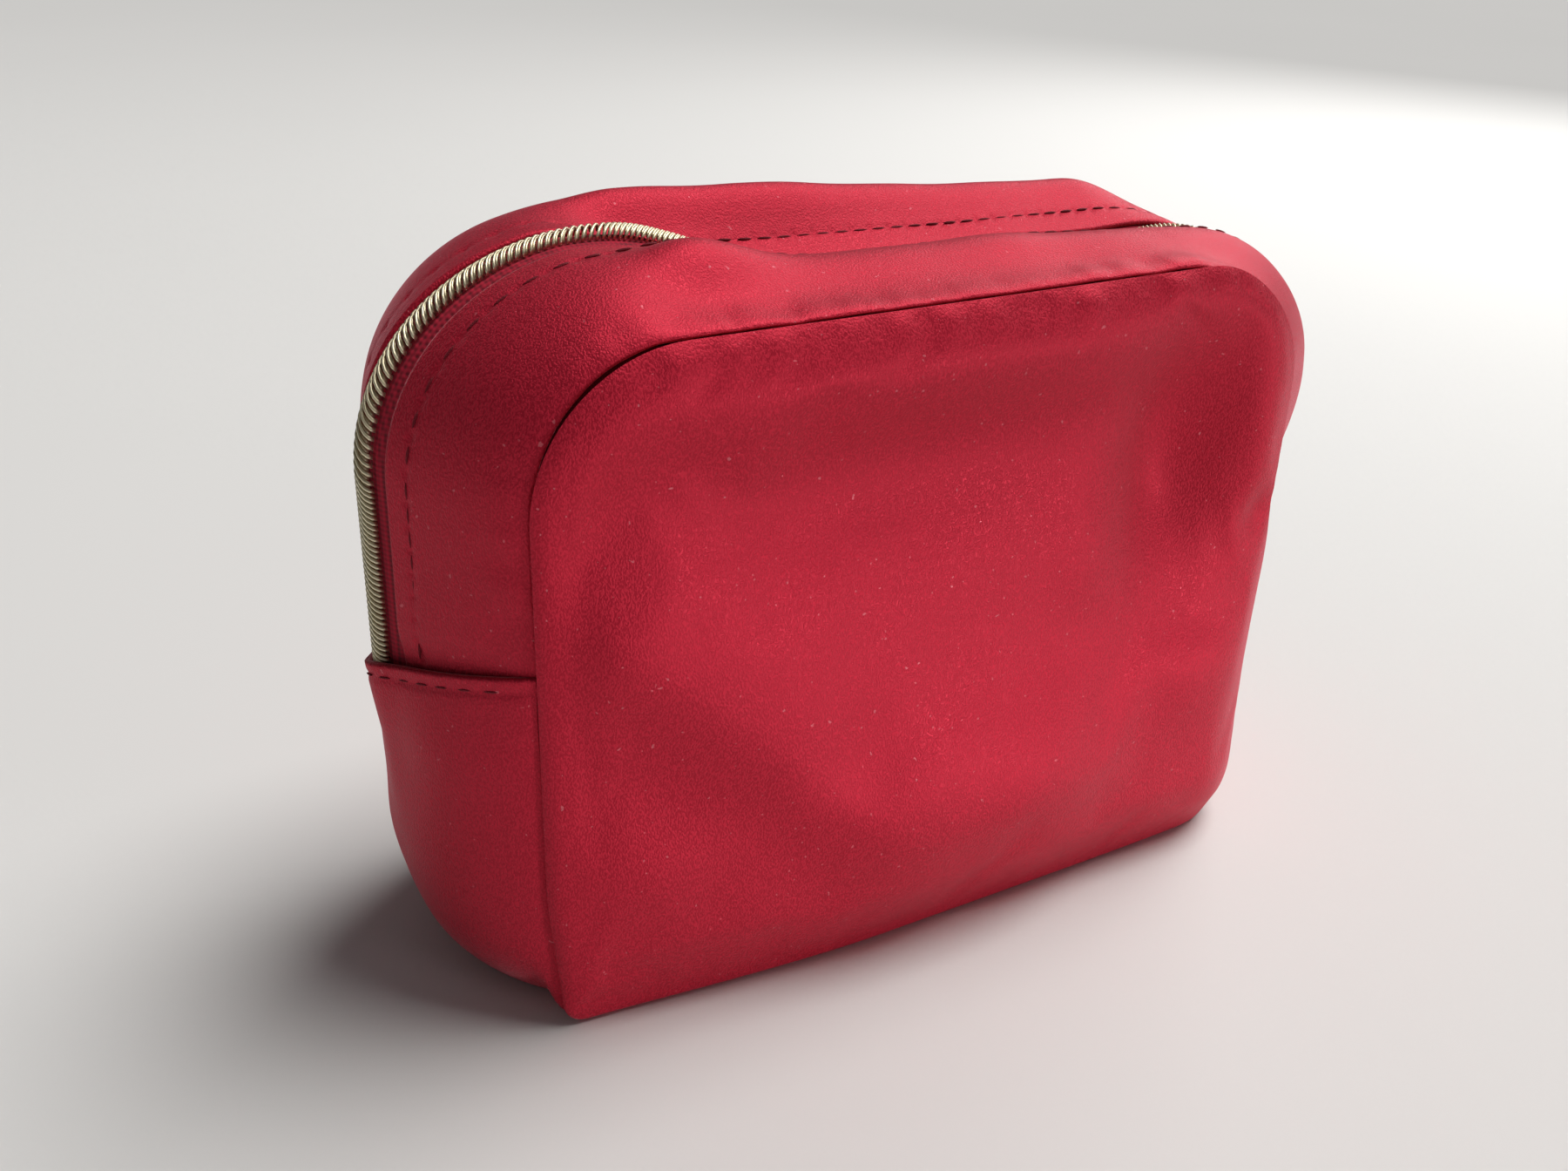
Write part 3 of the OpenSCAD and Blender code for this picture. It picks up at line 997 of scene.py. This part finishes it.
def slider_crown():
    """The arch that the puller hangs from, ARCH_WIDTH times as wide as it is thick."""
    bm = bmesh.new()
    height = bridge_high.x - bridge_low.x
    half_l = (bridge_high.z - bridge_low.z) / 2
    bmesh.ops.create_circle(bm, segments=12, radius=ARCH_R)
    bmesh.ops.scale(bm, verts=bm.verts, vec=(1, ARCH_WIDTH, 1))
    bmesh.ops.translate(bm, verts=bm.verts, vec=(half_l - 0.4, 0, 0))
    bmesh.ops.spin(bm, geom=bm.edges[:] + bm.verts[:], cent=(0, 0, 0), axis=(0, -1, 0),
        angle=math.pi, steps=14, use_merge=False)
    bmesh.ops.scale(bm, verts=bm.verts, vec=(1, 1, (height - 0.2) / half_l))
    bmesh.ops.holes_fill(bm, edges=bm.edges[:], sides=0)
    bmesh.ops.rotate(bm, verts=bm.verts, cent=(0, 0, 0), matrix=Matrix.Rotation(math.pi / 2, 3, "Y"))
    bmesh.ops.translate(bm, verts=bm.verts,
        vec=(bridge_low.x, 0, (bridge_low.z + bridge_high.z) / 2))
    bmesh.ops.recalc_face_normals(bm, faces=bm.faces)
    bmesh.ops.scale(bm, verts=bm.verts, vec=(MM, MM, MM))
    return finish_mesh(bm, "slider_crown", slider_gold)


PULLER_T = 1.0
ABOVE_AXIS = 0.7
NECK = 0.62
WINDOW_HALF = 1.45
WINDOW_TOP, WINDOW_BOTTOM = 0.6, 4.2
TIP_FROM = 0.82


def puller():
    """A flat teardrop tag with a window that hooks under the crown."""
    bm = bmesh.new()
    swing = next(joint for joint in frame["joints"] if joint["name"] == "puller_swing")
    axis = Vector(swing["pos_m"]) / MM
    length = axis.z - puller_low.z
    half_y = puller_high.y
    made = bmesh.ops.create_grid(bm, x_segments=12, y_segments=28, size=0.5)["verts"]
    for vertex in made:
        across, down = 2 * vertex.co.x, vertex.co.y + 0.5
        z = axis.z + ABOVE_AXIS - (length + ABOVE_AXIS) * down
        wide = half_y * mix(NECK, 1, smooth(0.25, 0.9, down))
        end = max(0, 1 - (max(down - TIP_FROM, 0) / (1 - TIP_FROM)) ** 2)
        vertex.co = Vector((axis.x, across * wide * math.sqrt(end), z))
    window = []
    for part in bm.faces:
        middle = part.calc_center_median()
        if abs(middle.y) < WINDOW_HALF and WINDOW_TOP < axis.z - middle.z < WINDOW_BOTTOM:
            window.append(part)
    bmesh.ops.delete(bm, geom=window, context="FACES")
    bmesh.ops.remove_doubles(bm, verts=bm.verts, dist=0.01)
    bmesh.ops.solidify(bm, geom=bm.faces[:], thickness=PULLER_T)
    bmesh.ops.recalc_face_normals(bm, faces=bm.faces)
    low = min(v.co.x for v in bm.verts)
    bmesh.ops.translate(bm, verts=bm.verts, vec=(axis.x - PULLER_T / 2 - low, 0, 0))
    bmesh.ops.scale(bm, verts=bm.verts, vec=(MM, MM, MM))
    obj = finish_mesh(bm, "puller_tag", slider_gold)
    soften = obj.modifiers.new("soft_edges", "BEVEL")
    soften.width = 0.22 * MM
    soften.segments = 2
    return obj


shell, crown, tag = slider_shell(), slider_crown(), puller()

# ---- What each piece is and moves with ----

for piece in (front_pad, front_inside, front_band, front_tape, front_band_in, front_coil,
        front_stitches, front_bind):
    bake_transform(piece)
for piece in (back_pad, back_inside, lower_pad, lower_inside, back_band, back_tape, back_band_in,
        back_coil, back_stitches, left_hem_stitches, right_hem_stitches, back_bind):
    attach(piece, "pouch")
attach(shell, "slider")
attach(crown, "slider")
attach(tag, "puller")

STANDS_FOR = [
    (front_pad, "satin", ["front_panel_lower", "front_panel_upper", "front_padding_lower",
        "front_padding_upper"]),
    (front_inside, "lining", ["front_lining_lower", "front_lining_upper"]),
    (back_pad, "satin", ["back_panel", "back_padding"]),
    (back_inside, "lining", ["back_lining"]),
    (lower_pad, "satin", ["lower_gusset", "gusset_padding"]),
    (lower_inside, "lining", ["gusset_lining"]),
    (front_band, "satin", ["front_zip_band"]),
    (back_band, "satin", ["back_zip_band"]),
    (front_tape, "zip_tape", ["front_zip_tape"]),
    (back_tape, "zip_tape", ["back_zip_tape"]),
    (front_band_in, "lining", ["front_band_lining"]),
    (back_band_in, "lining", ["back_band_lining"]),
    (front_coil, "coil", ["front_zip_coil"]),
    (back_coil, "coil", ["back_zip_coil"]),
    (front_stitches, "thread", ["front_topstitch"]),
    (back_stitches, "thread", ["back_topstitch"]),
    (left_hem_stitches, "thread", ["left_hem_stitch"]),
    (right_hem_stitches, "thread", ["right_hem_stitch"]),
    (front_bind, "binding", ["front_binding_upper", "front_binding_lower"]),
    (back_bind, "binding", ["back_binding"]),
    (shell, "slider_metal", ["slider_body"]),
    (crown, "slider_metal", ["slider_bridge"]),
    (tag, "slider_metal", ["puller_tab"]),
]
for piece, slot, nodes in STANDS_FOR:
    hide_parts(*nodes)

BAND_CUT = HALF_D - BAND_EDGE + math.pi * FOLD_R + UNDER
BAND_LINING_CUT = HALF_D - BAND_EDGE - 2 * BAND_LINING_IN
PANEL_CUT = (2 * (HALF_W - SEAM_IN - LINING_IN), PANEL_H - SEAM_IN - 2 * LINING_IN)
CUT = [
    # the sheet, its cut width and length, how it is held, and what it lies on
    (front_band, BAND_CUT, UPPER_L, "folded", [front_tape]),
    (back_band, BAND_CUT, UPPER_L, "folded", [back_tape]),
    (front_tape, TAPE_OUTER - CHAIN_INNER, UPPER_L, "laid", [front_band]),
    (back_tape, TAPE_OUTER - CHAIN_INNER, UPPER_L, "laid", [back_band]),
    (front_band_in, BAND_LINING_CUT, UPPER_L, "stretched", [front_band]),
    (back_band_in, BAND_LINING_CUT, UPPER_L, "stretched", [back_band]),
    (front_inside, *PANEL_CUT, "stretched", [front_pad]),
    (back_inside, *PANEL_CUT, "stretched", [back_pad]),
    (lower_inside, 2 * HALF_D * LINING_REACH, LOWER_L, "stretched", [lower_pad]),
    (front_bind, BINDING_CUT, BINDING_L, "folded", [front_inside]),
    (back_bind, BINDING_CUT, BINDING_L, "folded", [back_inside]),
]
for piece, width, length, held, under in CUT:
    width * MM
    length * MM

# ---- Floor, light and camera ----


FLOOR_SIZE = 30
PALE = (0.74, 0.725, 0.70, 1)
PALE_SHADE = tuple(0.97 * c for c in PALE[:3]) + (1,)


def studio_floor():
    """A wide pale floor, very slightly uneven in tone."""
    f = Finish("pale_floor", Roughness=0.85)
    f.set(Base_Color=f.blend(f.noise(3, 2), PALE, PALE_SHADE))
    bm = bmesh.new()
    bmesh.ops.create_grid(bm, x_segments=1, y_segments=1, size=FLOOR_SIZE)
    finish_mesh(bm, "pale_floor", f.material)


studio_floor()

MIDDLE = (0, 0, 0.07)


def aimed(name, light, place, target):
    """Sets a light at a place, facing a target."""
    obj = bpy.data.objects.new(name, light)
    obj.location = place
    obj.rotation_euler = (Vector(target) - Vector(place)).to_track_quat("-Z", "Y").to_euler()
    bpy.context.scene.collection.objects.link(obj)


def softbox(name, place, size, power, target=MIDDLE, spread=180):
    light = bpy.data.lights.new(name, "AREA")
    light.spread = math.radians(spread)
    light.shape = "RECTANGLE"
    light.size, light.size_y = size
    light.energy = power
    aimed(name, light, place, target)


def sky_panel(name, place, strength, angle):
    light = bpy.data.lights.new(name, "SUN")
    light.energy = strength
    light.angle = math.radians(angle)
    aimed(name, light, place, MIDDLE)


def dim_room():
    world = bpy.data.worlds.new("room")
    world.use_nodes = True
    background = world.node_tree.nodes["Background"]
    background.inputs["Color"].default_value = (0.9, 0.92, 0.95, 1)
    background.inputs["Strength"].default_value = 0.10
    bpy.context.scene.world = world


sky_panel("overhead", place=(0.40, -0.06, 0.98), strength=2.5, angle=34)
softbox("window", place=(1.0, 0.4, 0.6), size=(0.8, 0.6), power=6)
softbox("low_window", place=(0.85, -1.5, 0.06), size=(1.0, 0.06), power=0.28,
    target=(0.02, -0.04, 0.02), spread=14)
dim_room()
bpy.context.scene.view_settings.view_transform = "Standard"


def camera(place, yaw, pitch, roll, lens):
    """A camera by its bearing from +Y towards +X, its tilt down and its roll, in degrees."""
    data = bpy.data.cameras.new("camera")
    data.lens = lens
    data.sensor_width = 36
    obj = bpy.data.objects.new("camera", data)
    bearing = Matrix.Rotation(math.radians(-yaw), 4, "Z")
    tilt = Matrix.Rotation(math.radians(90 - pitch), 4, "X")
    level = Matrix.Rotation(math.radians(roll), 4, "Z")
    obj.matrix_world = Matrix.Translation(place) @ (bearing @ tilt @ level)
    bpy.context.scene.collection.objects.link(obj)
    bpy.context.scene.camera = obj


camera(place=(-0.1651, -0.2467, 0.2047), yaw=30.7, pitch=26.1, roll=1.8, lens=36.0)
